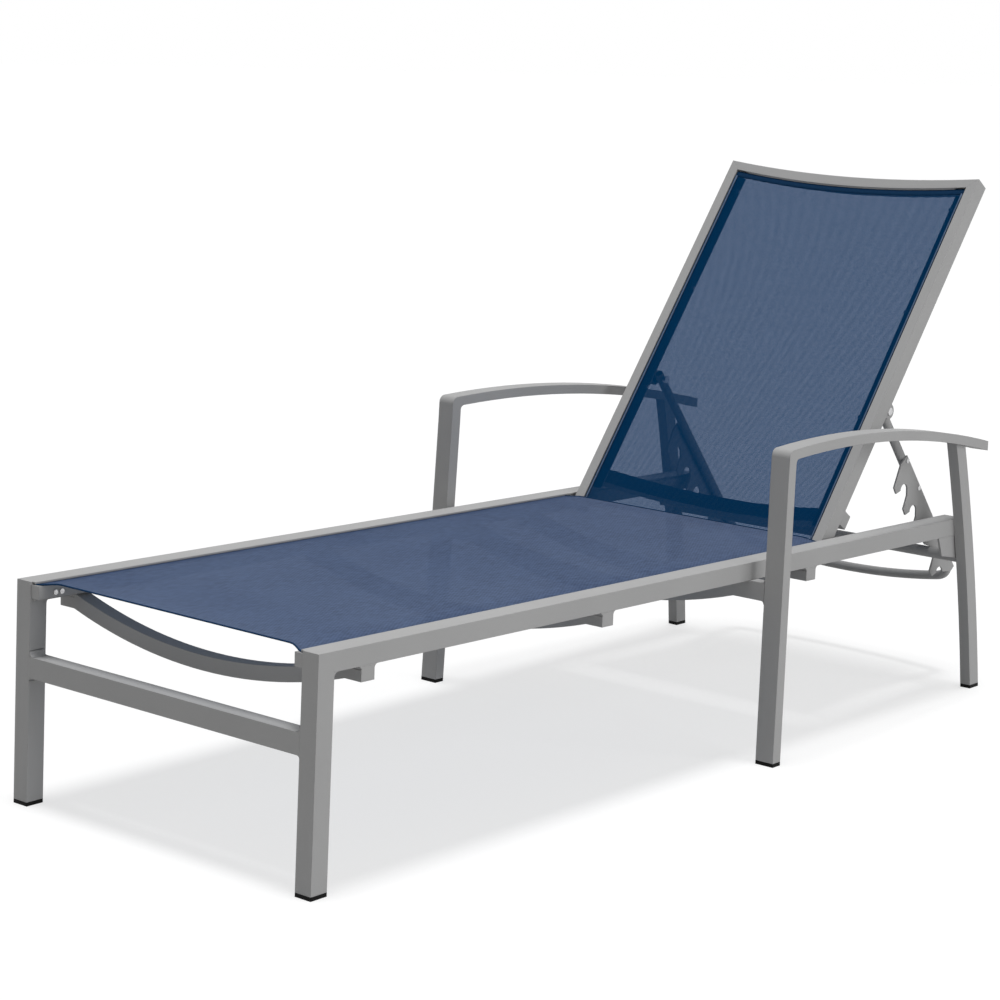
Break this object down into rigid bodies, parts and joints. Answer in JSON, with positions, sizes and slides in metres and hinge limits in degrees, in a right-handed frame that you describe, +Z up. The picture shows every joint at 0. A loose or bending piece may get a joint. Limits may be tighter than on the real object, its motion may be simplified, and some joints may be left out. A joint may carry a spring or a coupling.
{
  "type": "chaise lounge",
  "caption": "Sling chaise lounge with arched arms and a reclining back held by a notched ladder prop, grey coated tube frame with blue mesh slings.",
  "frame": {"origin": "floor level, in the middle of the overall width and length", "axes": "+Z up, +Y from the foot end towards the head end, +X across the width"},
  "size_m": [0.754, 1.6832, 0.8816],
  "materials": {
    "frame_coating": "satin powder coating",
    "fasteners": "satin",
    "black_plastic": "matte",
    "sling_rods": "matte",
    "seat_mesh": "coated woven mesh",
    "back_mesh": "coated woven mesh"
  },
  "bodies": {
    "base": {"seat_rail_right": "frame_coating", "seat_rail_left": "frame_coating", "foot_leg_right": "frame_coating", "foot_leg_left": "frame_coating", "foot_crossbar": "frame_coating", "seat_spreader_front": "frame_coating", "seat_spreader_middle": "frame_coating", "seat_spreader_rear": "frame_coating", "spreader_end_plates": "frame_coating", "frame_welds": "frame_coating", "arm_cross_tube": "frame_coating", "arm_frame_right": "frame_coating", "arm_frame_left": "frame_coating", "rear_leg_right": "frame_coating", "rear_leg_left": "frame_coating", "support_bar": "frame_coating", "bar_gusset_right": "frame_coating", "bar_gusset_left": "frame_coating", "foot_leg_caps": "black_plastic", "arm_leg_caps": "black_plastic", "rear_leg_caps": "black_plastic", "armrest_plugs": "black_plastic", "rail_plugs": "black_plastic", "track_plugs": "frame_coating", "seat_sling": "seat_mesh", "seat_sling_rods": "sling_rods", "spreader_screws": "fasteners", "track_screws": "fasteners", "hinge_bolts": "fasteners", "hinge_nuts": "fasteners", "hinge_bushes": "black_plastic"},
    "back": {"back_tube_right": "frame_coating", "back_tube_left": "frame_coating", "back_top_rail": "frame_coating", "back_spreader": "frame_coating", "back_end_plates": "frame_coating", "back_welds": "frame_coating", "back_sling": "back_mesh", "back_sling_rods": "sling_rods", "flange_screws": "fasteners", "back_plugs": "black_plastic", "prop_ear_right": "frame_coating", "prop_ear_left": "frame_coating", "prop_bolts": "fasteners", "prop_nuts": "fasteners"},
    "prop": {"prop_arm_right": "frame_coating", "prop_arm_left": "frame_coating", "prop_crossbar": "frame_coating", "notched_plate_right": "frame_coating", "notched_plate_left": "frame_coating", "plate_rivets": "fasteners", "prop_washers": "black_plastic"}
  },
  "joints": [
    {"name": "back_recline", "type": "hinge", "parent": "base", "child": "back", "pos_m": [0, 0.37848, 0.296], "axis": [1, 0, 0], "range_deg": [-54.32, 0]},
    {"name": "prop_swing", "type": "hinge", "parent": "back", "child": "prop", "pos_m": [0, 0.56887, 0.499], "axis": [1, 0, 0], "range_deg": [0, 105.9]}
  ],
  "couplings": [
    {"joint": "prop_swing", "follows": "back_recline", "ratio": -1.9485}
  ]
}
